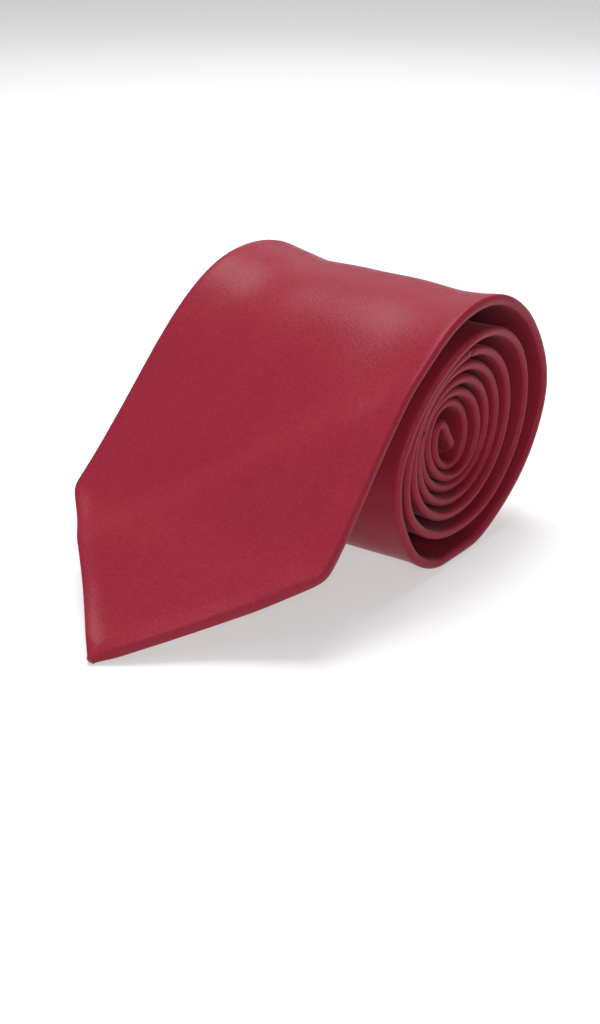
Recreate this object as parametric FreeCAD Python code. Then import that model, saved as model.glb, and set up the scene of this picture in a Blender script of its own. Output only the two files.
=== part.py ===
import FreeCAD, Part
import math
import os

# A necktie, rolled up from its narrow tail outwards and set down with the wide blade draped in front.
# Frame: X runs along the axis of the roll, the blade's point faces -Y, +Z is up and the table is z = 0.
# Every layer follows one centre path in the Y-Z plane.  A place on the tie is given by s, the distance
# along that path from the blade's point, x across the tie, and off, the distance out from the path.
# off > 0 is the show side of the tie, which faces out of the roll.

# Overall sizes, in mm
BLADE_WIDTH = 86.4          # across the two corners of the blade, 85 once they are rounded
NECK_WIDTH = 37.0           # across the middle of the tie
TAIL_WIDTH = 38.0           # across the two corners of the tail
TAIL_SLANT = 1.35           # half width gained per mm from the tail's point, 1 at the blade
NECK_START = 640.0          # where the blade has finished tapering
TAIL_START = 900.0          # where the tail starts to widen
TURN_RECESS = 9.0           # how far the right-hand edge steps in from the blade to the core
CORNER_SOFTNESS = 1.1       # rounds the corners of the blade and the tail
POINT_HALF = 1.6            # half width left at the two points

# Layers, as offsets from the centre path
HALF_THICK = 1.0
FACE = 0.36                 # the satin
INTER_LOW, INTER_HIGH = -0.34, 0.54
TIP_LOW, TIP_HIGH = -0.58, -0.42
BACK = -HALF_THICK          # outside of the back folds

# Places along the tie
BLADE_NECK = 520.0
NECK_TAIL = 760.0
SEAM_GAP = 0.6
INTER_JOIN = 600.0
BLADE_TACK = 112.0
TAIL_TACK = 62.0            # from the tail's point
BLADE_LINING = 150.0        # length of the blade tipping
TAIL_LINING = 90.0
HEM = 17.0                  # hem at the points, across the tie
LIP = 0.35                  # half the gap between the two back folds
PANEL = 34.0                # length of one panel of the cloth's faces
KEEPER_AT, KEEPER_BAND = 236.0, 14.0
LABEL_AT, LABEL_LONG, LABEL_WIDE = 280.0, 30.0, 40.0

# Side view of the tie as (y, z), from the blade's point over the top of the roll
X0, Y0 = -0.25, 13.7         # bring the middle of the rolled tie over the origin
FLAP = [(-86.0, 1.15), (-66.5, 10.6), (-47.3, 21.4), (-34.6, 32.9), (-18.9, 48.6), (-3.6, 62.0),
        (6.5, 67.9), (19.0, 70.9), (31.0, 69.4), (42.0, 63.4), (51.0, 53.0), (56.2, 38.6),
        (52.2, 24.4), (42.8, 12.8), (31.4, 4.8), (19.5, HALF_THICK)]
FLAT_END = (6.5, HALF_THICK)
SECOND = [FLAT_END, (-1.0, 3.0), (-8.0, 8.2), (-13.4, 17.0), (-17.0, 27.5), (-16.8, 36.6), (-12.0, 46.0),
          (-3.6, 54.2), (8.7, 60.6), (21.5, 62.6), (34.6, 59.0), (43.5, 51.0), (47.8, 39.0), (45.6, 26.3),
          (38.4, 16.6), (29.5, 10.9), (19.0, 8.8), (7.5, 9.8), (-3.4, 14.8), (-10.6, 23.5), (-11.8, 32.5),
          (-8.8, 42.4), (-1.4, 51.0)]
CORE_START = 2.04           # turns already made where the even core begins
CORE_END = 6.62
TAIL_END = [(12.1, 30.2), (11.9, 33.8), (12.8, 36.6), (14.8, 37.6), (16.6, 36.1), (18.3, 33.4), (20.1, 30.7),
            (21.5, 28.8), (22.1, 27.3), (21.4, 26.2), (19.7, 26.0), (17.4, 27.3), (15.4, 29.8), (15.1, 33.2)]


def core_point(turn):
    # The core is an even spiral, an ellipse that shrinks, sinks and leans over a little with each turn.
    u = turn - 2.0
    angle = 2.0 * math.pi * turn
    wide = 25.6 - 3.7 * u - 0.05 * u * u
    high = 23.2 - 3.6 * u + 0.1 * u * u
    lean = 0.07 * u - 0.08
    y = 15.7 + 0.49 * u + wide * math.sin(angle) - lean * high * math.cos(angle)
    z = 34.9 - 0.48 * u + high * math.cos(angle)
    return (y, z)


def spline_slopes(points, knots, first, last):
    # Slopes of the cubic curve through the points whose ends have the given slopes.
    n = len(points)
    slopes = [None] * n
    slopes[0] = first
    slopes[-1] = last
    upper = [0.0] * n
    right = [(0.0, 0.0)] * n
    right[0] = first
    for i in range(1, n - 1):
        h0 = knots[i] - knots[i - 1]
        h1 = knots[i + 1] - knots[i]
        low, mid, high = h1, 2.0 * (h0 + h1), h0
        rhs = []
        for j in (0, 1):
            d0 = (points[i][j] - points[i - 1][j]) / h0
            d1 = (points[i + 1][j] - points[i][j]) / h1
            rhs.append(3.0 * (h1 * d0 + h0 * d1))
        pivot = mid - low * upper[i - 1]
        upper[i] = high / pivot
        right[i] = tuple((rhs[j] - low * right[i - 1][j]) / pivot for j in (0, 1))
    for i in range(n - 2, 0, -1):
        slopes[i] = tuple(right[i][j] - upper[i] * slopes[i + 1][j] for j in (0, 1))
    return slopes


def smooth_curve(points, first, last, pieces=24):
    # Points and directions along the cubic curve through the given points.
    knots = [0.0]
    for a, b in zip(points, points[1:]):
        knots.append(knots[-1] + math.dist(a, b))
    slopes = spline_slopes(points, knots, first, last)
    out = []
    for i in range(len(points) - 1):
        h = knots[i + 1] - knots[i]
        for step in range(pieces):
            t = step / pieces
            a = 2 * t ** 3 - 3 * t ** 2 + 1
            b = t ** 3 - 2 * t ** 2 + t
            c = -2 * t ** 3 + 3 * t ** 2
            d = t ** 3 - t ** 2
            out.append(tuple(a * points[i][j] + b * h * slopes[i][j] + c * points[i + 1][j]
                             + d * h * slopes[i + 1][j] for j in (0, 1)))
    out.append(points[-1])
    return out


def build_path():
    core = []
    turn = CORE_START
    while turn < CORE_END:
        core.append(core_point(turn))
        turn += 1.0 / 14.0
    first = smooth_curve(FLAP, (0.93, 0.37), (-1.0, 0.0))
    second = smooth_curve(SECOND + core + TAIL_END, (-1.0, 0.0), (0.1, 1.0))
    line = [(FLAP[-1][0] + (FLAT_END[0] - FLAP[-1][0]) * i / 12.0, HALF_THICK) for i in range(1, 12)]
    points = [(y + Y0, z) for y, z in first + line + second]
    length = [0.0]
    for p, q in zip(points, points[1:]):
        length.append(length[-1] + math.dist(p, q))
    return points, length, length[len(first) - 1], length[len(first) + len(line)]


PATH, RUN, FLAT_FROM, FLAT_TO = build_path()
TOTAL = RUN[-1]
TAIL_CORNER = TOTAL - TAIL_WIDTH / 2.0 / TAIL_SLANT


def locate(s):
    # Position and outward normal of the centre path at distance s.
    if FLAT_FROM <= s <= FLAT_TO:
        return FLAP[-1][0] + Y0 - (s - FLAT_FROM), HALF_THICK, 0.0, -1.0
    low, high = 0, len(RUN) - 1
    while high - low > 1:
        mid = (low + high) // 2
        if RUN[mid] <= s:
            low = mid
        else:
            high = mid
    t = (s - RUN[low]) / (RUN[high] - RUN[low])
    pos = [PATH[low][j] + t * (PATH[high][j] - PATH[low][j]) for j in (0, 1)]
    d0 = direction(low)
    d1 = direction(high)
    dy = d0[0] + t * (d1[0] - d0[0])
    dz = d0[1] + t * (d1[1] - d0[1])
    n = math.hypot(dy, dz)
    return pos[0], pos[1], -dz / n, dy / n


def direction(i):
    a = PATH[max(0, i - 1)]
    b = PATH[min(len(PATH) - 1, i + 1)]
    d = math.dist(a, b)
    return ((b[0] - a[0]) / d, (b[1] - a[1]) / d)


def place(s, x, off):
    y, z, ny, nz = locate(s)
    return FreeCAD.Vector(X0 + middle(s) + x, y + ny * off, z + nz * off)


def ease(t):
    t = min(1.0, max(0.0, t))
    return t * t * (3.0 - 2.0 * t)


def soft_min(a, b, k):
    return -k * math.log(math.exp(-a / k) + math.exp(-b / k)) if abs(a - b) < 30.0 * k else min(a, b)


def full_width(s):
    if s < NECK_START:
        taper = 0.55 * s / NECK_START + 0.45 * ease(s / NECK_START)
        return BLADE_WIDTH + (NECK_WIDTH - BLADE_WIDTH) * taper
    return NECK_WIDTH + (TAIL_WIDTH - NECK_WIDTH) * ease((s - TAIL_START) / (TOTAL - TAIL_START))


def half_width(s):
    # Half the width of the tie, with the slanted points at both ends.
    h = soft_min(full_width(s) / 2.0, s, CORNER_SOFTNESS)
    return soft_min(h, TAIL_SLANT * (TOTAL - s), CORNER_SOFTNESS)


def middle(s):
    # x of the tie's own centre line: the right-hand edges of the turns stay nearly flush.
    right = BLADE_WIDTH / 2.0 - TURN_RECESS * ease(0.5 * s / TOTAL + 0.25) / ease(0.75) * (s / TOTAL)
    blade = ease((s - 30.0) / 160.0)
    return blade * (right - full_width(s) / 2.0)


def lip(s):
    # Half the opening between the back folds: closed by the hem at a point, open over the tipping
    # up to the bar tack, and closed by the slip stitch along the rest of the tie.
    ends = ((s, BLADE_TACK, BLADE_WIDTH), (TOTAL - s, TAIL_TACK, TAIL_WIDTH))
    for from_end, tack, width in ends:
        if from_end < tack:
            hem = max(0.0, half_width(s) - HEM)
            vee = 0.42 * width * (1.0 - ease(from_end / tack))
            return LIP + soft_min(hem, vee, 1.0) if hem > 0.0 else LIP
    return LIP


def stations(start, end):
    # Places to shape the cloth at: closer together at the points and in the tight turns.
    out = [start]
    s = start
    while True:
        turned = 7.0 if s < 420 else 7.0 - 4.6 * ease((s - 420.0) / (TOTAL - 420.0))
        near = min(abs(s - BLADE_WIDTH / 2.0), abs(s - TAIL_CORNER), abs(s - HEM), s, TOTAL - s)
        s += min(turned, 1.2 + 0.22 * near)
        if s > end - 0.6:
            break
        out.append(s)
    out.append(end)
    return out


def panels(start, end):
    # Short panels, so that each face stays simple, with the flat resting stretch as one of them.
    corner = BLADE_WIDTH / 2.0
    marks = [HEM, corner - 7.0, corner + 6.0, 75.0, FLAT_FROM, FLAT_TO, TAIL_CORNER - 5.0, TAIL_CORNER + 6.0]
    step = 75.0
    while step < TAIL_CORNER - 30.0:
        step += PANEL if step < 560.0 else 0.6 * PANEL
        if abs(step - FLAT_FROM) > 12.0 and abs(step - FLAT_TO) > 12.0:
            marks.append(step)
    marks = [start] + sorted(m for m in marks if start + 1.0 < m < end - 1.0) + [end]
    return list(zip(marks, marks[1:]))


def rail(row, spots):
    if len(row) == 2:
        return Part.makeLine(row[0], row[1])
    curve = Part.BSplineCurve()
    curve.interpolate(Points=row, Parameters=spots)
    return curve.toShape()


def side_face(a, b, rows_a, rows_b):
    if len(rows_a) == 2:
        corners = [rows_a[0], rows_a[1], rows_b[1], rows_b[0], rows_a[0]]
        level = [p.z for p in corners]
        if max(level) - min(level) < 1e-6:
            return Part.Face(Part.makePolygon(corners))
    return Part.makeRuledSurface(a, b, 1)


def sweep(section, start, end):
    # Sweeps a closed outline, given as (x, off) at each s, along the tie and closes it at both ends.
    faces = []
    for s0, s1 in panels(start, end):
        flat = abs(s0 - FLAT_FROM) < 1e-9 and abs(s1 - FLAT_TO) < 1e-9
        spots = [s0, s1] if flat else stations(s0, s1)
        rings = [[place(s, x, off) for x, off in section(s)] for s in spots]
        count = len(rings[0])
        rows = [[ring[i] for ring in rings] for i in range(count)]
        rails = [rail(row, spots) for row in rows]
        for i in range(count):
            j = (i + 1) % count
            faces.append(side_face(rails[i], rails[j], rows[i], rows[j]))
    for s in (start, end):
        ring = [place(s, x, off) for x, off in section(s)]
        faces.append(Part.Face(Part.makePolygon(ring + ring[:1])))
    shell = Part.Shell(faces)
    if not shell.isClosed():
        shell.sewShape()
    solid = Part.Solid(shell)
    if solid.Volume < 0.0:
        solid.reverse()
    return solid


def fold_outline(h, gap, out, low, turns):
    # Open outline of a flat fold from one back edge round the front to the other.
    right = [(gap, low), (max(gap + 0.1, h - HALF_THICK), low)]
    for i in range(1, turns):
        angle = -math.pi / 2.0 + math.pi * i / turns
        right.append((h - HALF_THICK + out * math.cos(angle), out * math.sin(angle)))
    right.append((h - HALF_THICK, -low))
    left = [(-x, off) for x, off in reversed(right)]
    return right + left


def shell_section(s):
    # The satin: a front, two rounded folds and two back halves that nearly meet.
    h = half_width(s)
    gap = min(lip(s), h - HALF_THICK - 0.2)
    outer = fold_outline(h, gap, HALF_THICK, -HALF_THICK, 4)
    inner_radius = HALF_THICK - FACE
    inner = fold_outline(h, gap, inner_radius, -inner_radius, 4)
    return outer + list(reversed(inner))


def interlining_section(s):
    w = half_width(s) - HALF_THICK
    return [(-w, INTER_LOW), (w, INTER_LOW), (w, INTER_HIGH), (-w, INTER_HIGH)]


def tipping_section(s):
    w = half_width(s) - HALF_THICK - 0.4
    return [(-w, TIP_LOW), (w, TIP_LOW), (w, TIP_HIGH), (-w, TIP_HIGH)]


def keeper_section(s):
    # A flat band across the back that arches a little so the tail can pass under it.
    foot, rise, thick = BACK - 0.08, BACK - 0.75, 0.45
    under = [(-21.0, foot), (-18.0, foot), (-16.0, rise), (16.0, rise), (18.0, foot), (21.0, foot)]
    over = [(21.0, foot - thick), (18.4, foot - thick), (16.2, rise - thick)]
    return under + over + [(-x, off) for x, off in reversed(over)]


def label_section(s):
    w = LABEL_WIDE / 2.0
    return [(-w, BACK - 0.26), (w, BACK - 0.26), (w, BACK - 0.08), (-w, BACK - 0.08)]


def thread_section(s):
    return [(-0.14, -0.94), (0.14, -0.94), (0.14, -0.74), (-0.14, -0.74)]


def stitch(s, x, off, along, across, thick):
    # One thread: a small block lying on the tie at (s, x), its middle at off.
    y, z, ny, nz = locate(s)
    block = Part.makeBox(across, along, thick)
    block.translate(FreeCAD.Vector(-across / 2.0, -along / 2.0, -thick / 2.0))
    block.rotate(FreeCAD.Vector(0, 0, 0), FreeCAD.Vector(1, 0, 0), math.degrees(math.atan2(-ny, nz)))
    block.translate(place(s, x, off))
    return block


def spread(first, last, count):
    return [first + (last - first) * i / (count - 1) for i in range(count)]


def seam_stitches(s):
    # Threads across the joint of two shell pieces, on the front wall and on both back halves.
    w = half_width(s) - 2.6
    front = [stitch(s, x, HALF_THICK - FACE / 2.0, 0.4, 1.2, 0.22) for x in spread(-w, w, 15)]
    back = [stitch(s, side * x, BACK + FACE / 2.0, 0.4, 1.2, 0.22) for side in (-1, 1)
            for x in spread(2.0, w, 7)]
    return Part.makeCompound(front + back)


def hem_stitches(ends_at, tack, count):
    # The row that holds the tipping to the hem, from the point up both sides to the bar tack.
    blocks = []
    for from_end in spread(HEM + 6.0, tack - 8.0, count):
        s = from_end if ends_at == 0 else TOTAL - from_end
        for side in (-1, 1):
            blocks.append(stitch(s, side * (lip(s) - 0.35), TIP_LOW - 0.14, 1.6, 0.3, 0.18))
    return Part.makeCompound(blocks)


def bar_tack(s):
    return Part.makeCompound([stitch(s + d, 0.0, BACK - 0.14, 0.35, 7.0, 0.18) for d in spread(-1.6, 1.6, 6)])


def end_stitches(s0, s1, x, off, count):
    # Short threads over the two sides of a piece sewn flat on the back of the blade.
    return [stitch(s, side * x, off, 0.5, 1.8, 0.16) for side in (-1, 1) for s in spread(s0, s1, count)]


def interlining_join():
    blocks = [stitch(INTER_JOIN, x, 0.12, 0.4, 0.8, 0.7) for x in spread(-17.0, 17.0, 12)]
    return Part.makeCompound(blocks)


def spare_thread():
    # The slack left at the end of the slip stitch, as a small closed loop lying on the tipping.
    discs = []
    for radius in (2.75, 2.5):
        corners = []
        for i in range(12):
            angle = math.pi * i / 6.0
            corners.append(FreeCAD.Vector(radius * math.cos(angle), radius * math.sin(angle), 0.0))
        face = Part.Face(Part.makePolygon(corners + corners[:1]))
        discs.append(face.extrude(FreeCAD.Vector(0.0, 0.0, 0.22)))
    loop = discs[0].cut(discs[1])
    s = BLADE_TACK - 9.0
    y, z, ny, nz = locate(s)
    loop.rotate(FreeCAD.Vector(0, 0, 0), FreeCAD.Vector(1, 0, 0), math.degrees(math.atan2(-ny, nz)))
    loop.translate(place(s, 0.0, BACK - 0.35))
    return loop


def point_start(half):
    # Distance from a point at which the tie is already the given half width.
    s = half
    while half_width(s) < half:
        s += 0.05
    return s


def build():
    tip = point_start(POINT_HALF)
    deep = point_start(4.0)
    half_gap = SEAM_GAP / 2.0
    parts = {
        "blade_shell": sweep(shell_section, tip, BLADE_NECK - half_gap),
        "neck_shell": sweep(shell_section, BLADE_NECK + half_gap, NECK_TAIL - half_gap),
        "tail_shell": sweep(shell_section, NECK_TAIL + half_gap, TOTAL - tip),
        "blade_interlining": sweep(interlining_section, deep, INTER_JOIN - half_gap),
        "tail_interlining": sweep(interlining_section, INTER_JOIN + half_gap, TOTAL - deep),
        "interlining_join_stitches": interlining_join(),
        "blade_tipping": sweep(tipping_section, deep + 1.0, BLADE_LINING),
        "tail_tipping": sweep(tipping_section, TOTAL - TAIL_LINING, TOTAL - deep - 1.0),
        "blade_tipping_stitches": hem_stitches(0, BLADE_TACK, 18),
        "tail_tipping_stitches": hem_stitches(1, TAIL_TACK, 8),
        "blade_neck_seam": seam_stitches(BLADE_NECK),
        "neck_tail_seam": seam_stitches(NECK_TAIL),
        "slip_stitch_thread": sweep(thread_section, BLADE_TACK - 4.0, TOTAL - TAIL_TACK + 4.0),
        "spare_thread_loop": spare_thread(),
        "blade_bar_tack": bar_tack(BLADE_TACK),
        "tail_bar_tack": bar_tack(TOTAL - TAIL_TACK),
        "keeper_loop": sweep(keeper_section, KEEPER_AT - KEEPER_BAND / 2.0, KEEPER_AT + KEEPER_BAND / 2.0),
        "keeper_loop_stitches": Part.makeCompound(end_stitches(
            KEEPER_AT - 5.5, KEEPER_AT + 5.5, 19.8, BACK - 0.65, 5)),
        "blank_label": sweep(label_section, LABEL_AT - LABEL_LONG / 2.0, LABEL_AT + LABEL_LONG / 2.0),
        "label_stitches": Part.makeCompound(end_stitches(
            LABEL_AT - 13.5, LABEL_AT + 13.5, 18.6, BACK - 0.38, 8)),
    }
    return parts


def main():
    os.makedirs("parts", exist_ok=True)
    for name, shape in build().items():
        shape.exportStep(os.path.join("parts", name + ".step"))


main()
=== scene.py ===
import math

import bpy
import numpy as np
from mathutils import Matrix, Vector, noise


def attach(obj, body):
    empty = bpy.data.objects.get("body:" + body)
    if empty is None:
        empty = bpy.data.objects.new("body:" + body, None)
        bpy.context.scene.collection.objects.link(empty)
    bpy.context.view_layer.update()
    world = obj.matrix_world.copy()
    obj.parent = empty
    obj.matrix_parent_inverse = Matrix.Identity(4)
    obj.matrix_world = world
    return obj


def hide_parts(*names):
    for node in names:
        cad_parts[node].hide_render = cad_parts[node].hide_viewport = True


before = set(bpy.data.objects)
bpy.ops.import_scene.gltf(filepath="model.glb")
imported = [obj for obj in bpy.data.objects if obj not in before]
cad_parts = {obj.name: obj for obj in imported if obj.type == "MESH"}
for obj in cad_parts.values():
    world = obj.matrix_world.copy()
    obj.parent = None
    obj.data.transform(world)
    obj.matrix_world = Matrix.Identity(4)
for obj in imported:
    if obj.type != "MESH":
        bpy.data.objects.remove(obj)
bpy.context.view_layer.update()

MM = 0.001

# ---------------------------------------------------------------- the tie's own coordinates, in mm
# s runs along the tie from the blade's point, x across it, off out of its show side.  The sizes and the
# path are those of the CAD part.

BLADE_WIDTH, NECK_WIDTH, TAIL_WIDTH = 86.4, 37.0, 38.0
TAIL_SLANT = 1.35                           # half width gained per mm from the tail's point
NECK_START, TAIL_START = 640.0, 900.0       # where the blade stops tapering, where the tail widens again
TURN_RECESS = 9.0                           # how far the right rim steps in from the blade to the core
CORNER_SOFTNESS = 1.1
HALF_THICK = 1.0
BACK = -HALF_THICK                          # outside of the back folds
FACE = 0.36                                 # inside of the satin on the show side
INTER_LOW, INTER_HIGH = -0.34, 0.54         # the interlining
TIP_LOW, TIP_HIGH = -0.58, -0.42            # the tipping
BLADE_NECK, NECK_TAIL = 520.0, 760.0        # seams of the satin
INTER_JOIN = 600.0                          # join of the interlining
BLADE_TACK, TAIL_TACK = 112.0, 62.0         # bar tacks, each from its own point
BLADE_LINING, TAIL_LINING = 150.0, 90.0     # lengths of the tippings
HEM = 17.0                                  # width of the hem at the points
LIP = 0.35                                  # half the gap between the back folds
KEEPER_AT, KEEPER_BAND = 236.0, 14.0
LABEL_AT, LABEL_LONG, LABEL_WIDE = 280.0, 30.0, 40.0
X0, Y0 = -0.25, 13.7                        # bring the middle of the rolled tie over the origin
FLAP = [(-86.0, 1.15), (-66.5, 10.6), (-47.3, 21.4), (-34.6, 32.9), (-18.9, 48.6), (-3.6, 62.0),
        (6.5, 67.9), (19.0, 70.9), (31.0, 69.4), (42.0, 63.4), (51.0, 53.0), (56.2, 38.6),
        (52.2, 24.4), (42.8, 12.8), (31.4, 4.8), (19.5, HALF_THICK)]
FLAT_END = (6.5, HALF_THICK)
SECOND = [FLAT_END, (-1.0, 3.0), (-8.0, 8.2), (-13.4, 17.0), (-17.0, 27.5), (-16.8, 36.6), (-12.0, 46.0),
          (-3.6, 54.2), (8.7, 60.6), (21.5, 62.6), (34.6, 59.0), (43.5, 51.0), (47.8, 39.0), (45.6, 26.3),
          (38.4, 16.6), (29.5, 10.9), (19.0, 8.8), (7.5, 9.8), (-3.4, 14.8), (-10.6, 23.5), (-11.8, 32.5),
          (-8.8, 42.4), (-1.4, 51.0)]
CORE_START, CORE_END = 2.04, 6.62           # turns made where the even core begins and ends
CORE_STEP = 1.0 / 14.0
TAIL_END = [(12.1, 30.2), (11.9, 33.8), (12.8, 36.6), (14.8, 37.6), (16.6, 36.1), (18.3, 33.4), (20.1, 30.7),
            (21.5, 28.8), (22.1, 27.3), (21.4, 26.2), (19.7, 26.0), (17.4, 27.3), (15.4, 29.8), (15.1, 33.2)]


def core_point(turn):
    """The core's even spiral: an ellipse that shrinks, sinks and leans over a little with each turn."""
    u = turn - 2.0
    angle = 2.0 * math.pi * turn
    wide = 25.6 - 3.7 * u - 0.05 * u * u
    high = 23.2 - 3.6 * u + 0.1 * u * u
    lean = 0.07 * u - 0.08
    return (15.7 + 0.49 * u + wide * math.sin(angle) - lean * high * math.cos(angle),
            34.9 - 0.48 * u + high * math.cos(angle))


def smooth_curve(points, first, last, pieces=24):
    """Points along the cubic curve through the given points, with the given end directions."""
    p = np.array(points)
    h = np.hypot(*(p[1:] - p[:-1]).T)
    n = len(p)
    matrix = np.eye(n)
    right = np.zeros((n, 2))
    right[0], right[-1] = first, last
    for i in range(1, n - 1):
        matrix[i, i - 1:i + 2] = h[i], 2.0 * (h[i - 1] + h[i]), h[i - 1]
        right[i] = 3.0 * (h[i] * (p[i] - p[i - 1]) / h[i - 1] + h[i - 1] * (p[i + 1] - p[i]) / h[i])
    slopes = np.linalg.solve(matrix, right)
    t = (np.arange(pieces) / pieces)[:, None]
    out = []
    for i in range(n - 1):
        out.append((2 * t ** 3 - 3 * t ** 2 + 1) * p[i] + (t ** 3 - 2 * t ** 2 + t) * h[i] * slopes[i]
                   + (3 * t ** 2 - 2 * t ** 3) * p[i + 1] + (t ** 3 - t ** 2) * h[i] * slopes[i + 1])
    out.append(p[-1:])
    return np.concatenate(out)


def build_path():
    """The centre path in side view: its points, the distance along it, and its outward directions."""
    core = []
    turn = CORE_START
    while turn < CORE_END:
        core.append(core_point(turn))
        turn += CORE_STEP
    first = smooth_curve(FLAP, (0.93, 0.37), (-1.0, 0.0))
    second = smooth_curve(SECOND + core + TAIL_END, (-1.0, 0.0), (0.1, 1.0))
    line = [(FLAP[-1][0] + (FLAT_END[0] - FLAP[-1][0]) * i / 12.0, HALF_THICK) for i in range(1, 12)]
    points = np.concatenate([first, np.array(line), second]) + np.array([Y0, 0.0])
    run = np.concatenate([[0.0], np.cumsum(np.hypot(*np.diff(points, axis=0).T))])
    way = np.gradient(points, axis=0)
    way /= np.hypot(*way.T)[:, None]
    return points, run, np.stack([-way[:, 1], way[:, 0]], 1)


PATH, RUN, OUT = build_path()
TOTAL = float(RUN[-1])


def ease(t):
    """0 below t = 0, 1 above t = 1, and smooth between."""
    t = np.clip(t, 0.0, 1.0)
    return t * t * (3.0 - 2.0 * t)


def soft_min(a, b, k):
    """The smaller of a and b, rounded over a distance of about k where they cross."""
    low = np.minimum(a, b)
    return low - k * np.log(np.exp(-(a - low) / k) + np.exp(-(b - low) / k))


def full_width(s):
    """Width of the tie before its points and corners are shaped."""
    taper = 0.55 * s / NECK_START + 0.45 * ease(s / NECK_START)
    blade = BLADE_WIDTH + (NECK_WIDTH - BLADE_WIDTH) * taper
    tail = NECK_WIDTH + (TAIL_WIDTH - NECK_WIDTH) * ease((s - TAIL_START) / (TOTAL - TAIL_START))
    return np.where(s < NECK_START, blade, tail)


def half_width(s):
    """Half the width of the finished tie, with its two points."""
    blade = soft_min(full_width(s) / 2.0, s, CORNER_SOFTNESS)
    return soft_min(blade, TAIL_SLANT * (TOTAL - s), CORNER_SOFTNESS)


def middle(s):
    """Where the tie's middle line runs in x: the turns are nearly flush at their right-hand rims."""
    right = BLADE_WIDTH / 2.0 - TURN_RECESS * ease(0.5 * s / TOTAL + 0.25) / ease(0.75) * (s / TOTAL)
    return ease((s - 30.0) / 160.0) * (right - full_width(s) / 2.0)


def lip(s):
    """Half the gap between the two back edges of the satin, which opens in a vee at each hem."""
    out = np.full_like(s, LIP)
    for from_end, tack, width in ((s, BLADE_TACK, BLADE_WIDTH), (TOTAL - s, TAIL_TACK, TAIL_WIDTH)):
        hem = np.maximum(0.0, half_width(s) - HEM)
        vee = 0.42 * width * (1.0 - ease(from_end / tack))
        opened = LIP + soft_min(hem, vee, 1.0)
        out = np.where((from_end < tack) & (hem > 0.0), np.maximum(opened, LIP), out)
    return out


SAME_TURN = 14.0                            # points of the path closer than this along it are neighbours
FAR = 99.0
TURN_CLEARANCE = 0.05


def room_beside():
    """Half the clear space between this turn and its neighbours, outside and inside, all along the tie."""
    pick = np.arange(0, len(RUN), 4)
    gap = PATH[None, pick] - PATH[pick, None]
    apart = np.hypot(gap[..., 0], gap[..., 1])
    apart[np.abs(RUN[None, pick] - RUN[pick, None]) < SAME_TURN] = FAR
    side = np.sum(gap * OUT[pick, None], axis=2)
    rooms = []
    for sign in (1.0, -1.0):
        nearest = np.min(np.where(side * sign > 0.0, apart, FAR), axis=1)
        rooms.append(np.clip(0.5 * (nearest - 2.0 * HALF_THICK) - TURN_CLEARANCE, 0.0, 1.0))
    return RUN[pick], rooms


ROOM_AT, (ROOM_OUT, ROOM_IN) = room_beside()


def fbm(a, b, seed, scale):
    """Smooth random field over the cloth, the same on every run."""
    flat = np.empty(a.size)
    aa, bb = (a / scale).ravel(), (b / scale).ravel()
    for i in range(a.size):
        flat[i] = noise.fractal((aa[i], bb[i], seed), 0.6, 2.0, 2)
    return flat.reshape(a.shape)


def window(s, rise0, rise1, fall0, fall1):
    """1 between rise1 and fall0, easing to 0 outside rise0 and fall1."""
    return ease((s - rise0) / (rise1 - rise0)) * (1.0 - ease((s - fall0) / (fall1 - fall0)))


# How far the soft cloth stands off the even CAD surface, in mm.  Each zone is a window along the tie.
FLAT_HOLLOW, CROWN_HOLLOW = 0.35, 1.1       # beside the rims: all along the blade, and more at the crown
CROWN_ZONE = (55.0, 112.0, 140.0, 210.0)    # where the blade bends over the top of the roll
RIGHT_HOLLOW = (0.55, 14.0, 8.5)            # share of the depth, distance in from the rim, reach
LEFT_HOLLOW = (0.95, 17.0, 10.0)
LEFT_RISE = 2.1                             # the left rim stands up at the crown
LEFT_RISE_ZONE = (62.0, 122.0, 150.0, 235.0)
FOLD_RISE = 3.0                             # a slack fold crosses the blade slantwise
FOLD_AT, FOLD_SLANT = 51.0, 0.707           # where its crest crosses the middle, sine of its slant
FOLD_ABOVE, FOLD_BELOW = 7.5, 21.0          # how far it runs out on each side of the crest
FOLD_ZONE = (10.0, 34.0, 104.0, 140.0)
HEM_SAG, SAG_REACH = 1.2, 9.0               # the right-hand hem droops between the point and the corner
SAG_ZONE = (4.0, 22.0, 26.0, 42.0)
TURN_UP, TURN_UP_REACH = 1.2, 40.0          # the right rim turns up off the table under the roll
TURN_UP_ZONE = (200.0, 232.0, 256.0, 292.0)
WAVES = ((3.1, 30.0, 0.16), (8.7, 8.0, 0.05))   # seed, size and height of the slight ripples


def bell(distance, centre, reach):
    return np.exp(-((distance - centre) / reach) ** 2)


def rim_hollows(s, at_right, at_left):
    depth = (FLAT_HOLLOW + CROWN_HOLLOW * window(s, *CROWN_ZONE)) * ease((s - 20.0) / 40.0)
    depth = depth * (1.0 - ease((s - 175.0) / 55.0))
    right = RIGHT_HOLLOW[0] * bell(at_right, *RIGHT_HOLLOW[1:])
    left = LEFT_HOLLOW[0] * bell(at_left, *LEFT_HOLLOW[1:])
    return -depth * (right + left)


def slack_fold(s, x, at_right):
    across = (s - x - FOLD_AT) * FOLD_SLANT
    run_out = np.where(across > 0.0, FOLD_ABOVE, FOLD_BELOW)
    fade = window(s, *FOLD_ZONE) * (1.0 - 0.6 * ease((16.0 - at_right) / 14.0))
    return FOLD_RISE * bell(across, 0.0, run_out) * fade


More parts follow.
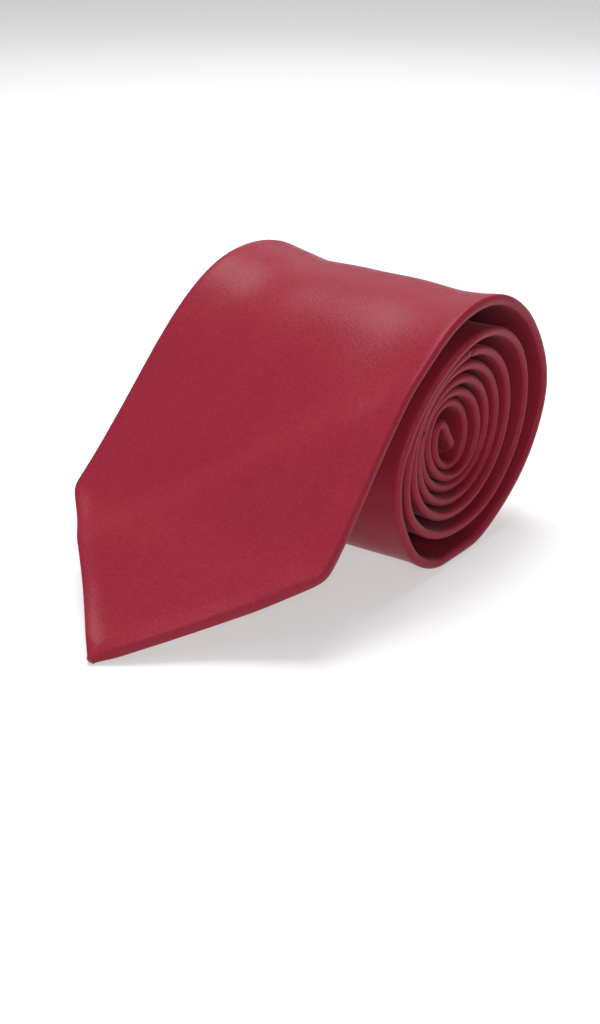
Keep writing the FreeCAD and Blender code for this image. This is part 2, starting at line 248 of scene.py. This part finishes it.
def lift(s, x):
    """How far the soft cloth stands off the even surface, without its ripples."""
    h = half_width(s)
    at_right, at_left = h - x, h + x
    out = rim_hollows(s, at_right, at_left)
    out = out + LEFT_RISE * ease((-x + 2.0) / 42.0) * window(s, *LEFT_RISE_ZONE)
    out = out + slack_fold(s, x, at_right)
    out = out - HEM_SAG * bell(at_right, 0.0, SAG_REACH) * window(s, *SAG_ZONE)
    out = out - TURN_UP * ease((x - h + TURN_UP_REACH) / TURN_UP_REACH) * window(s, *TURN_UP_ZONE)
    return out


def ripple(s, x):
    """Slight ripples, calmer inside the roll and gone at the two points."""
    calm = 1.0 - 0.75 * ease((s - 260.0) / 120.0)
    inside = ease((s - 2.0) / 14.0) * ease((TOTAL - s - 2.0) / 14.0)
    return calm * inside * sum(high * fbm(s, x, seed, size) for seed, size, high in WAVES)


# How the cloth's thickness differs from the CAD's, as shares of it
RIM_PUFF, POINT_PUFF = 0.45, 0.35           # the rolled rims stand out, most of all at the blade's point
RIM_REACH = 3.0                             # mm in from a rim where the puff has mostly gone
ROOM_SHARE = 0.8                            # a rim puffs up only this far into the space beside it
SEAM_PINCH, SEAM_REACH = 0.16, 0.8          # the cloth is drawn in along the two seams
TIP_STRETCH = 1.5                           # mm the blade's point reaches further out, as its end is rounded
SIDE_SLIDE = 0.45                           # mm the turns wander from side to side
TABLE_SKIN = 0.05                           # lowest point of the cloth above the table, in mm


def thickness(s, x, off):
    """How many times its even distance from the centre path the cloth stands at (s, x)."""
    slant = 1.0 - 0.28 * (1.0 - ease((np.minimum(s - 18.0, TOTAL - s) - 16.0) / 16.0))
    in_from_rim = np.maximum(0.0, half_width(s) - np.abs(x)) * slant
    room = np.where(off > 0.0, np.interp(s, ROOM_AT, ROOM_OUT), np.interp(s, ROOM_AT, ROOM_IN))
    puff = RIM_PUFF * (1.0 - 0.4 * ease((s - 210.0) / 150.0)) + POINT_PUFF * (1.0 - ease((s - 40.0) / 60.0))
    puff = np.minimum(puff, ROOM_SHARE * room)
    thick = 1.0 + puff * np.exp(-((in_from_rim - 0.6) / RIM_REACH) ** 2)
    thick = thick * (0.6 + 0.4 * ease((s - 1.0) / 5.0))
    thick = thick * (0.7 + 0.3 * ease((TOTAL - s - 1.0) / 5.0))
    for seam in (BLADE_NECK, NECK_TAIL):
        thick = thick * (1.0 - SEAM_PINCH * np.exp(-((s - seam) / SEAM_REACH) ** 2))
    return thick


def place(s, x, off):
    """World positions, in metres, of cloth points (s, x, off) in mm."""
    s, x, off = np.broadcast_arrays(*(np.asarray(v, dtype=float) for v in (s, x, off)))
    y = np.interp(s, RUN, PATH[:, 0])
    z = np.interp(s, RUN, PATH[:, 1])
    ny = np.interp(s, RUN, OUT[:, 0])
    nz = np.interp(s, RUN, OUT[:, 1])
    size = np.hypot(ny, nz)
    out = off * thickness(s, x, off) + lift(s, x) + ripple(s, x)
    slide = SIDE_SLIDE * np.sin(s / 23.0) * ease((s - 190.0) / 80.0)
    reach = -TIP_STRETCH * (1.0 - ease(s / 26.0))
    wx = X0 + middle(s) + x + slide
    wy = y + ny / size * out + nz / size * reach
    wz = z + nz / size * out - ny / size * reach
    return np.stack([wx, wy, np.maximum(wz, TABLE_SKIN)], -1) * MM


# ---------------------------------------------------------------- meshes

def add_piece(name, verts, faces, coords):
    """A smooth-shaded piece that rides the tie.  Its cloth coordinates, in metres, carry the weave."""
    mesh = bpy.data.meshes.new(name)
    mesh.from_pydata([tuple(v) for v in verts], [], faces)
    mesh.polygons.foreach_set("use_smooth", [True] * len(mesh.polygons))
    attr = mesh.attributes.new("cloth", "FLOAT_VECTOR", "POINT")
    attr.data.foreach_set("vector", np.asarray(coords, dtype=np.float32).ravel())
    mesh.update()
    piece = bpy.data.objects.new(name, mesh)
    bpy.context.scene.collection.objects.link(piece)
    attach(piece, "root")
    return piece


def sweep_piece(name, stations, section):
    """A closed skin through the rings section(s) gives as (x, off) rows, closed at both ends."""
    s = np.asarray(stations, dtype=float)
    x, off = section(s)
    rows, cols = x.shape
    where = place(s[:, None] + np.zeros_like(x), x, off)
    coords = np.stack([s[:, None] + np.zeros_like(x), x, off], -1) * MM
    faces = []
    for i in range(rows - 1):
        a, b = i * cols, (i + 1) * cols
        for j in range(cols):
            k = (j + 1) % cols
            faces.append((a + j, b + j, b + k, a + k))
    half = cols // 2
    for row, turned in ((0, False), (rows - 1, True)):
        base = row * cols
        for j in range(half - 1):
            quad = (base + j, base + j + 1, base + cols - 2 - j, base + cols - 1 - j)
            faces.append(quad[::-1] if turned else quad)
    return add_piece(name, where.reshape(-1, 3), faces, coords.reshape(-1, 3))


BLADE_CORNER, TAIL_CORNER = 43.0, 14.0      # how far each pair of corners is from its point


def pick_rows(start, end, coarse):
    """Stations: close together at the points and corners, wider apart elsewhere."""
    out, s = [start], start
    while True:
        near = min(abs(s - BLADE_CORNER), abs(TOTAL - s - TAIL_CORNER), s, TOTAL - s)
        s += min(coarse, 0.45 + 0.09 * near)
        if s > end - 0.3:
            break
        out.append(s)
    out.append(end)
    return np.array(out)


def fold_rows(h, gap, radius, front=44, back=13, fold=12):
    """Outline of the folded satin from the right back edge round the front to the left one."""
    inner = np.maximum(gap + 0.05, h - HALF_THICK)[:, None]
    tb = np.linspace(0.0, 1.0, back)[None, :]
    back_x = gap[:, None] + (inner - gap[:, None]) * tb
    angle = (-math.pi / 2.0 + math.pi * np.arange(1, fold) / fold)[None, :]
    fold_x = inner + radius * np.cos(angle)
    fold_off = radius * np.sin(angle) + 0.0 * inner
    tf = np.linspace(1.0, -1.0, front + 1)[None, :]
    front_x = inner * tf
    x = np.concatenate([back_x, fold_x, front_x, -fold_x[:, ::-1], -back_x[:, ::-1]], 1)
    flat = -radius + 0.0 * back_x
    off = np.concatenate([flat, fold_off, radius + 0.0 * front_x, fold_off[:, ::-1], flat], 1)
    return x, off


def shell_section(s):
    """The satin: its outside and, turned round, its inside.  It closes up towards the two points."""
    h = half_width(s)
    near = np.minimum(s, TOTAL - s)
    gap = np.minimum(lip(s), np.maximum(0.03, h - HALF_THICK - 0.2))
    gap = gap * (0.15 + 0.85 * ease((near - 6.0) / 12.0))
    full = HALF_THICK * np.ones_like(s)
    bare = HALF_THICK - (0.96 * HALF_THICK + (FACE - 0.96 * HALF_THICK) * ease((near - 1.0) / 5.0))
    x0, o0 = fold_rows(h, gap, full[:, None])
    x1, o1 = fold_rows(h, gap, bare[:, None])
    return np.concatenate([x0, x1[:, ::-1]], 1), np.concatenate([o0, o1[:, ::-1]], 1)


def flat_section(width, low, high, cols=36):
    """A flat layer between the offs low and high, with the half width width(s)."""
    def section(s):
        w = width(s)[:, None]
        t = np.linspace(-1.0, 1.0, cols)[None, :]
        x = np.concatenate([w * t, w * t[:, ::-1]], 1)
        off = np.concatenate([np.full_like(w * t, high), np.full_like(w * t, low)], 1)
        return x[:, ::-1], off[:, ::-1]
    return section


TUBE_SIDES, TUBE_TAPER = 7, 0.45


def tube(points, radius, sides=TUBE_SIDES):
    """Vertices, faces and cloth coordinates of a thread through (s, x, off) points in mm."""
    pts = np.asarray(points, dtype=float)
    line = place(pts[:, 0], pts[:, 1], pts[:, 2])
    way = np.gradient(line, axis=0)
    way /= np.linalg.norm(way, axis=1)[:, None]
    side = np.cross(way, np.array([0.31, 0.52, 0.79]))
    side /= np.linalg.norm(side, axis=1)[:, None]
    up = np.cross(side, way)
    verts, faces = [], []
    count = len(pts)
    for i in range(count):
        r = radius * MM
        if i in (0, count - 1):
            r *= TUBE_TAPER
        for k in range(sides):
            a = 2.0 * math.pi * k / sides
            verts.append(line[i] + r * (math.cos(a) * side[i] + math.sin(a) * up[i]))
    for i in range(count - 1):
        for k in range(sides):
            n = (k + 1) % sides
            faces.append((i * sides + k, i * sides + n, (i + 1) * sides + n, (i + 1) * sides + k))
    faces.append(tuple(reversed(range(sides))))
    faces.append(tuple((count - 1) * sides + k for k in range(sides)))
    coords = np.repeat(pts, sides, axis=0) * MM
    return np.array(verts), faces, coords


def thread_piece(name, nodes, runs, radius):
    """One piece of all the threads of a row of sewing."""
    verts, faces, coords, base = [], [], [], 0
    for points in runs:
        v, f, c = tube(points, radius)
        verts.append(v)
        coords.append(c)
        faces += [tuple(i + base for i in face) for face in f]
        base += len(v)
    piece = add_piece(name, np.concatenate(verts), faces, np.concatenate(coords))
    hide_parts(*nodes)
    return piece


def jitter(seed):
    """A repeatable small offset between -0.5 and 0.5."""
    value = math.sin(seed * 12.9898) * 43758.5453
    return value - math.floor(value) - 0.5


def arch(s0, x0, s1, x1, off, rise, steps=7):
    """A thread lying from one place to another, pressed into the cloth at both ends."""
    out = []
    for i in range(steps):
        t = i / (steps - 1)
        bend = math.sin(math.pi * t)
        out.append((s0 + (s1 - s0) * t, x0 + (x1 - x0) * t, off - rise * bend))
    return out


# ---------------------------------------------------------------- materials

YARN_WAVE = 0.314                           # wave texture scale that gives one band for each metre
FLECK_SHARE, CLOUD_SHARE = 0.55, 0.12       # of the fine and the broad unevenness in the colour
DARK_AT, LIGHT_AT = 0.20, 0.47              # where their sum gives the dark and the light colour
CLOUD_SCALE = 38.0
FLECK_RELIEF, WEAVE_RELIEF = 1.4, 0.15
RELIEF_DEPTH = 0.00006


def node(tree, kind, **values):
    item = tree.nodes.new(kind)
    for key, value in values.items():
        setattr(item, key, value)
    return item


def cloth_material(name, dark, light, pitch, turn, rough, sheen, sheen_tint, bump, aniso=0.0, specular=0.5):
    """Woven cloth: pitch is the yarns' spacing in metres, turn the weave's angle to the tie's length."""
    mat = bpy.data.materials.new(name)
    mat.use_nodes = True
    tree = mat.node_tree
    links = tree.links
    shader = tree.nodes["Principled BSDF"]
    shader.inputs["Sheen Weight"].default_value = sheen
    shader.inputs["Sheen Roughness"].default_value = 0.35
    shader.inputs["Sheen Tint"].default_value = (*sheen_tint, 1.0)
    shader.inputs["Specular IOR Level"].default_value = specular
    shader.inputs["Anisotropic"].default_value = aniso
    at = node(tree, "ShaderNodeAttribute", attribute_name="cloth")
    spin = node(tree, "ShaderNodeMapping")
    spin.inputs["Rotation"].default_value = (0.0, 0.0, turn)
    links.new(at.outputs["Vector"], spin.inputs["Vector"])
    # the crossing yarns
    warp = node(tree, "ShaderNodeTexWave", wave_type="BANDS", bands_direction="X")
    warp.inputs["Scale"].default_value = YARN_WAVE / pitch
    warp.inputs["Distortion"].default_value = 1.2
    warp.inputs["Detail Scale"].default_value = 2.0
    weft = node(tree, "ShaderNodeTexWave", wave_type="BANDS", bands_direction="Y")
    weft.inputs["Scale"].default_value = YARN_WAVE / (pitch * 1.35)
    weft.inputs["Distortion"].default_value = 1.6
    weft.inputs["Detail Scale"].default_value = 2.0
    links.new(spin.outputs["Vector"], warp.inputs["Vector"])
    links.new(spin.outputs["Vector"], weft.inputs["Vector"])
    weave = node(tree, "ShaderNodeMath", operation="ADD")
    links.new(warp.outputs["Fac"], weave.inputs[0])
    links.new(weft.outputs["Fac"], weave.inputs[1])
    # uneven yarns: small flecks, a little longer along the floats
    stretch = node(tree, "ShaderNodeMapping")
    stretch.inputs["Rotation"].default_value = (0.0, 0.0, turn)
    stretch.inputs["Scale"].default_value = (1.0, 0.75, 1.0)
    links.new(at.outputs["Vector"], stretch.inputs["Vector"])
    fleck = node(tree, "ShaderNodeTexNoise")
    fleck.inputs["Scale"].default_value = 0.62 / pitch
    fleck.inputs["Detail"].default_value = 3.0
    fleck.inputs["Roughness"].default_value = 0.65
    links.new(stretch.outputs["Vector"], fleck.inputs["Vector"])
    cloud = node(tree, "ShaderNodeTexNoise")
    cloud.inputs["Scale"].default_value = CLOUD_SCALE
    cloud.inputs["Detail"].default_value = 4.0
    links.new(at.outputs["Vector"], cloud.inputs["Vector"])
    # colour
    mix = node(tree, "ShaderNodeMath", operation="MULTIPLY_ADD")
    mix.inputs[1].default_value = FLECK_SHARE
    links.new(fleck.outputs["Fac"], mix.inputs[0])
    soft = node(tree, "ShaderNodeMath", operation="MULTIPLY")
    soft.inputs[1].default_value = CLOUD_SHARE
    links.new(cloud.outputs["Fac"], soft.inputs[0])
    links.new(soft.outputs["Value"], mix.inputs[2])
    ramp = node(tree, "ShaderNodeValToRGB")
    ramp.color_ramp.elements[0].position = DARK_AT
    ramp.color_ramp.elements[0].color = (*dark, 1.0)
    ramp.color_ramp.elements[1].position = LIGHT_AT
    ramp.color_ramp.elements[1].color = (*light, 1.0)
    links.new(mix.outputs["Value"], ramp.inputs["Fac"])
    links.new(ramp.outputs["Color"], shader.inputs["Base Color"])
    # roughness
    level = node(tree, "ShaderNodeMapRange")
    level.inputs["To Min"].default_value = rough - 0.05
    level.inputs["To Max"].default_value = rough + 0.06
    links.new(fleck.outputs["Fac"], level.inputs["Value"])
    links.new(level.outputs["Result"], shader.inputs["Roughness"])
    # relief
    add = node(tree, "ShaderNodeMath", operation="MULTIPLY_ADD")
    add.inputs[1].default_value = FLECK_RELIEF
    links.new(fleck.outputs["Fac"], add.inputs[0])
    fine = node(tree, "ShaderNodeMath", operation="MULTIPLY")
    fine.inputs[1].default_value = WEAVE_RELIEF
    links.new(weave.outputs["Value"], fine.inputs[0])
    links.new(fine.outputs["Value"], add.inputs[2])
    relief = node(tree, "ShaderNodeBump")
    relief.inputs["Strength"].default_value = bump
    relief.inputs["Distance"].default_value = RELIEF_DEPTH
    links.new(add.outputs["Value"], relief.inputs["Height"])
    links.new(relief.outputs["Normal"], shader.inputs["Normal"])
    return mat


SATIN = cloth_material("satin_red", (0.178, 0.0118, 0.0230), (0.234, 0.0160, 0.0318), pitch=0.00042,
                       turn=math.radians(45.0), rough=0.34, sheen=0.10, sheen_tint=(1.0, 0.48, 0.54),
                       bump=0.7, aniso=0.2, specular=0.08)
LINING = cloth_material("tipping_red", (0.20, 0.014, 0.026), (0.26, 0.022, 0.036), pitch=0.00036,
                        turn=0.0, rough=0.62, sheen=0.12, sheen_tint=(1.0, 0.6, 0.6), bump=0.6)
WOOL = cloth_material("interlining_wool", (0.62, 0.58, 0.50), (0.74, 0.70, 0.62), pitch=0.0009,
                      turn=0.0, rough=0.9, sheen=0.3, sheen_tint=(1.0, 0.98, 0.94), bump=0.9)
RIBBON = cloth_material("label_ribbon", (0.016, 0.016, 0.020), (0.032, 0.032, 0.038), pitch=0.00030,
                        turn=0.0, rough=0.45, sheen=0.15, sheen_tint=(0.8, 0.8, 0.9), bump=0.7)
THREAD = cloth_material("sewing_thread", (0.24, 0.014, 0.028), (0.40, 0.035, 0.055), pitch=0.00030,
                        turn=math.radians(28.0), rough=0.5, sheen=0.25, sheen_tint=(1.0, 0.6, 0.6), bump=0.8)


def finish_piece(piece, material):
    piece.data.materials.clear()
    piece.data.materials.append(material)
    return piece


# ---------------------------------------------------------------- the pieces

def point_start(half):
    """The first place along the tie that is as wide as this on each side."""
    s = half
    while float(half_width(np.array(s))) < half:
        s += 0.05
    return s


TIP = point_start(0.8)                      # where the satin starts, from either point
DEEP = point_start(4.0)                     # where the layers inside it start
COARSE = 1.0
SEAM_GAP, JOIN_GAP = 0.05, 0.3              # between a seam and the cloth on each side of it

blade_rows = pick_rows(TIP, BLADE_NECK - SEAM_GAP, 2.1 * COARSE)
neck_rows = pick_rows(BLADE_NECK + SEAM_GAP, NECK_TAIL - SEAM_GAP, 2.0 * COARSE)
tail_rows = pick_rows(NECK_TAIL + SEAM_GAP, TOTAL - TIP, 1.2 * COARSE)
blade = sweep_piece("blade_satin", blade_rows, shell_section)
neck = sweep_piece("neck_satin", neck_rows, shell_section)
tail = sweep_piece("tail_satin", tail_rows, shell_section)
for piece, name in ((blade, "blade_shell"), (neck, "neck_shell"), (tail, "tail_shell")):
    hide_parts(name)
    finish_piece(piece, SATIN)

inter = flat_section(lambda s: half_width(s) - HALF_THICK, INTER_LOW, INTER_HIGH)
lining = flat_section(lambda s: half_width(s) - HALF_THICK - 0.4, TIP_LOW, TIP_HIGH)
blade_pad = sweep_piece("blade_interlining_wool",
                        pick_rows(DEEP, INTER_JOIN - JOIN_GAP, 3.0), inter)
tail_pad = sweep_piece("tail_interlining_wool",
                       pick_rows(INTER_JOIN + JOIN_GAP, TOTAL - DEEP, 2.2), inter)
blade_lining = sweep_piece("blade_tipping_cloth",
                           pick_rows(DEEP + 1.0, BLADE_LINING, 2.2), lining)
tail_lining = sweep_piece("tail_tipping_cloth",
                          pick_rows(TOTAL - TAIL_LINING, TOTAL - DEEP - 1.0, 1.8), lining)
for piece, name, mat in ((blade_pad, "blade_interlining", WOOL), (tail_pad, "tail_interlining", WOOL),
                         (blade_lining, "blade_tipping", LINING), (tail_lining, "tail_tipping", LINING)):
    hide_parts(name)
    finish_piece(piece, mat)


def band_piece(name, s0, s1, half, profile, thick, cols=44, edge=6):
    """A strip lying across the back of the tie: profile(x) is the off of its underside."""
    mid, reach = (s0 + s1) / 2.0, (s1 - s0) / 2.0
    ring = []
    round_off = min(thick / 2.0, reach)
    for k in range(edge + 1):
        a = -math.pi / 2.0 + math.pi * k / edge
        ring.append((reach - round_off + round_off * math.cos(a), round_off * math.sin(a)))
    for k in range(1, 9):
        ring.append(((reach - round_off) * (1.0 - k / 4.5), round_off))
    ring += [(-a, -b) for a, b in ring[:edge + 1]]
    for k in range(1, 9):
        ring.append(((reach - round_off) * (k / 4.5 - 1.0), -round_off))
    ring = np.array(ring)
    x = np.linspace(-half, half, cols)
    s = mid + ring[:, 0][None, :] + np.zeros((cols, 1))
    off = profile(x)[:, None] - thick / 2.0 - ring[:, 1][None, :]
    xx = x[:, None] + np.zeros_like(s)
    where = place(s, xx, off)
    coords = np.stack([s, xx, off], -1) * MM
    count = len(ring)
    faces = []
    for i in range(cols - 1):
        for j in range(count):
            k = (j + 1) % count
            faces.append((i * count + j, i * count + k, (i + 1) * count + k, (i + 1) * count + j))
    faces.append(tuple(range(count))[::-1])
    faces.append(tuple((cols - 1) * count + j for j in range(count)))
    return add_piece(name, where.reshape(-1, 3), faces, coords.reshape(-1, 3))


def keeper_under(x):
    """The keeper stands off the back in its middle and is sewn down at its two ends."""
    a = np.abs(x)
    return BACK - 0.08 - 0.67 * (1.0 - ease((a - 15.5) / 3.0))


keeper = finish_piece(band_piece("keeper_loop_satin", KEEPER_AT - KEEPER_BAND / 2.0,
                                 KEEPER_AT + KEEPER_BAND / 2.0, 21.0, keeper_under, 0.45), SATIN)
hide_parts("keeper_loop")
label = finish_piece(band_piece("blank_label_ribbon", LABEL_AT - LABEL_LONG / 2.0,
                                LABEL_AT + LABEL_LONG / 2.0, LABEL_WIDE / 2.0,
                                lambda x: BACK - 0.08 + 0.0 * x, 0.2), RIBBON)
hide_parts("blank_label")


# ---------------------------------------------------------------- sewing

def seam_runs(s):
    """Stitches inside the satin across a seam, on the show side and on the back."""
    w = float(half_width(np.array(s))) - 2.6
    runs = []
    for count, off, back_gap in ((24, HALF_THICK - FACE / 2.0, 0.0), (22, BACK + FACE / 2.0, 1.2)):
        for i in range(count):
            x = -w + 2.0 * w * i / (count - 1.0)
            if abs(x) > back_gap:
                runs.append(arch(s - 0.6, x, s + 0.6, x + 0.2, off, 0.03))
    return runs


HEM_STITCH, HEM_INSET = 0.9, 0.45           # half a hem stitch's length, and how far in from the lip it lies


def hem_runs(at_tail, tack, count):
    """Stitches along both lips of the opened hem, where it meets the tipping."""
    runs = []
    for i in range(count):
        d = HEM + 6.0 + (tack - 8.0 - HEM - 6.0) * i / (count - 1)
        s = TOTAL - d if at_tail else d
        before, after = s - HEM_STITCH, s + HEM_STITCH
        x0, x1 = (float(lip(np.array(at))) - HEM_INSET for at in (before, after))
        for side in (-1.0, 1.0):
            runs.append(arch(before, side * x0, after, side * x1, TIP_LOW - 0.08, 0.08))
    return runs


def tack_runs(s):
    """A bar tack: threads side by side across the back seam, tied down by three along it."""
    runs = []
    for i in range(9):
        d = -1.6 + 3.2 * i / 8.0
        start, end = s + d + 0.1 * jitter(i + s), s + d + 0.12 * jitter(i + 3.0)
        runs.append(arch(start, -3.6, end, 3.6, BACK - 0.10, 0.07, 9))
    for x in (-2.4, 0.0, 2.4):
        runs.append(arch(s - 1.9, x, s + 1.9, x, BACK - 0.22, 0.05))
    return runs


def side_runs(s0, s1, x, off, count):
    """Short stitches along the two side edges of a strip."""
    runs = []
    for i in range(count):
        s = s0 + (s1 - s0) * i / (count - 1)
        for side in (-1.0, 1.0):
            runs.append(arch(s - 0.25, side * (x - 0.9), s + 0.25, side * (x + 0.9), off, 0.06))
    return runs


def slip_run():
    """The slip stitch: one thread that goes from lip to lip along the back seam, from tack to tack."""
    s, end = BLADE_TACK - 4.0, TOTAL - TAIL_TACK + 4.0
    out, i = [], 0
    while s < end:
        side = 1.0 if i % 4 < 2 else -1.0
        out.append((s, 0.16 * side, BACK + 0.16 + 0.03 * (i % 2)))
        s += 1.5 if i % 2 else 2.6
        i += 1
    return out


def spare_run():
    """The spare loop: a slack oval of the same thread beyond the blade's tack."""
    s0 = BLADE_TACK - 9.0
    out = []
    for i in range(41):
        a = 2.0 * math.pi * i / 40.0
        out.append((s0 + 3.0 * math.cos(a) - 0.3, 2.1 * math.sin(a) + 0.4 * math.sin(2.0 * a),
                    BACK - 0.16 - 0.05 * math.sin(a)))
    return out


SEWING = [
    thread_piece("blade_neck_seam_thread", ["blade_neck_seam"], seam_runs(BLADE_NECK), 0.09),
    thread_piece("neck_tail_seam_thread", ["neck_tail_seam"], seam_runs(NECK_TAIL), 0.09),
    thread_piece("interlining_join_thread", ["interlining_join_stitches"],
                 [arch(INTER_JOIN - 0.2, -17.0 + 2.0 * i, INTER_JOIN + 0.2, -16.4 + 2.0 * i, 0.12, 0.2)
                  for i in range(18)], 0.12),
    thread_piece("blade_hem_thread", ["blade_tipping_stitches"], hem_runs(False, BLADE_TACK, 22), 0.09),
    thread_piece("tail_hem_thread", ["tail_tipping_stitches"], hem_runs(True, TAIL_TACK, 10), 0.09),
    thread_piece("slip_stitch_line", ["slip_stitch_thread"], [slip_run()], 0.10),
    thread_piece("spare_thread", ["spare_thread_loop"], [spare_run()], 0.11),
    thread_piece("blade_bar_tack_thread", ["blade_bar_tack"], tack_runs(BLADE_TACK), 0.13),
    thread_piece("tail_bar_tack_thread", ["tail_bar_tack"], tack_runs(TOTAL - TAIL_TACK), 0.10),
    thread_piece("keeper_thread", ["keeper_loop_stitches"],
                 side_runs(KEEPER_AT - 5.5, KEEPER_AT + 5.5, 19.8, BACK - 0.58, 7), 0.10),
    thread_piece("label_thread", ["label_stitches"],
                 side_runs(LABEL_AT - 13.5, LABEL_AT + 13.5, 18.9, BACK - 0.32, 14), 0.08),
]
for piece in SEWING:
    finish_piece(piece, THREAD)


# ---------------------------------------------------------------- what each sheet was cut to

def folded_round(s):
    """Width of the satin as cut: the front and the two back folds."""
    return 4.0 * half_width(s) - 2.0 * lip(s)


def laid_flat(s):
    return 2.0 * half_width(s)


def cut_area(start, end, cut_width):
    s = np.linspace(start, end, 400)
    wide = cut_width(s)
    return float(np.sum((wide[1:] + wide[:-1]) * np.diff(s)) / 2.0) * MM * MM


# piece, start and end along the tie, widest cut in metres, width along the tie, what it rests on
SHEETS = [
    (blade, TIP, BLADE_NECK, 0.172, folded_round, ["neck_satin"]),
    (neck, BLADE_NECK, NECK_TAIL, 0.088, folded_round, ["tail_satin"]),
    (tail, NECK_TAIL, TOTAL - TIP, 0.076, folded_round, ["neck_satin"]),
    (blade_pad, DEEP, INTER_JOIN, 0.084, laid_flat, ["blade_satin"]),
    (tail_pad, INTER_JOIN, TOTAL - DEEP, 0.037, laid_flat, ["tail_satin"]),
    (blade_lining, DEEP, BLADE_LINING, 0.083, laid_flat, ["blade_satin"]),
    (tail_lining, TOTAL - TAIL_LINING, TOTAL - DEEP, 0.035, laid_flat, ["tail_satin"]),
]
for piece, start, end, width, cut_width, on in SHEETS:
    length = (end - start) * MM
    area = min(cut_area(start, end, cut_width), width * length)


# ---------------------------------------------------------------- floor, light and camera

FLOOR_HALF, FLOOR_GREY, FLOOR_GLOW = 4.0, 0.5, 0.43
WORLD_LIGHT = 0.20
LIGHT_TARGET = (0.0, 0.0, 0.03)
WHITE = (1.0, 1.0, 1.0, 1.0)


def floor_plane():
    """A plain floor that glows a little, so that it stays white and its shadows stay pale."""
    w = FLOOR_HALF
    mesh = bpy.data.meshes.new("studio_floor")
    mesh.from_pydata([(-w, -w, 0.0), (w, -w, 0.0), (w, w, 0.0), (-w, w, 0.0)], [], [(0, 1, 2, 3)])
    plane = bpy.data.objects.new("studio_floor", mesh)
    bpy.context.scene.collection.objects.link(plane)
    mat = bpy.data.materials.new("studio_white")
    mat.use_nodes = True
    shader = mat.node_tree.nodes["Principled BSDF"]
    shader.inputs["Base Color"].default_value = (FLOOR_GREY, FLOOR_GREY, FLOOR_GREY, 1.0)
    shader.inputs["Roughness"].default_value = 0.9
    shader.inputs["Specular IOR Level"].default_value = 0.1
    shader.inputs["Emission Color"].default_value = WHITE
    shader.inputs["Emission Strength"].default_value = FLOOR_GLOW
    mesh.materials.append(mat)


def softbox(name, where, size, power):
    light = bpy.data.lights.new(name, "AREA")
    light.shape = "RECTANGLE"
    light.size, light.size_y = size
    light.energy = power
    lamp = bpy.data.objects.new(name, light)
    bpy.context.scene.collection.objects.link(lamp)
    lamp.location = where
    lamp.rotation_euler = (Vector(LIGHT_TARGET) - Vector(where)).to_track_quat("-Z", "Y").to_euler()


floor_plane()
softbox("top_softbox", (-0.18, 0.20, 0.90), (0.55, 0.55), 12.1)
softbox("back_softbox", (-0.40, 0.72, 0.50), (0.7, 0.5), 1.0)
softbox("front_softbox", (-0.45, -0.80, 0.55), (0.6, 0.6), 2.0)
softbox("side_softbox", (0.62, -0.70, 0.42), (0.35, 0.35), 5.0)

world = bpy.data.worlds.new("studio_world")
bpy.context.scene.world = world
world.use_nodes = True
background = world.node_tree.nodes["Background"]
background.inputs["Color"].default_value = WHITE
background.inputs["Strength"].default_value = WORLD_LIGHT

bpy.context.scene.view_settings.view_transform = "Standard"

CAMERA_AT = (0.2158, -0.2723, 0.182)
AZIMUTH, ELEVATION = math.radians(37.4), math.radians(26.0)
camera_data = bpy.data.cameras.new("camera")
camera_data.lens = 49.64
camera_data.sensor_width = 36.0
camera = bpy.data.objects.new("camera", camera_data)
bpy.context.scene.collection.objects.link(camera)
camera.location = CAMERA_AT
look = Vector((-math.sin(AZIMUTH) * math.cos(ELEVATION), math.cos(AZIMUTH) * math.cos(ELEVATION),
               -math.sin(ELEVATION)))
camera.rotation_euler = look.to_track_quat("-Z", "Y").to_euler()
bpy.context.scene.camera = camera
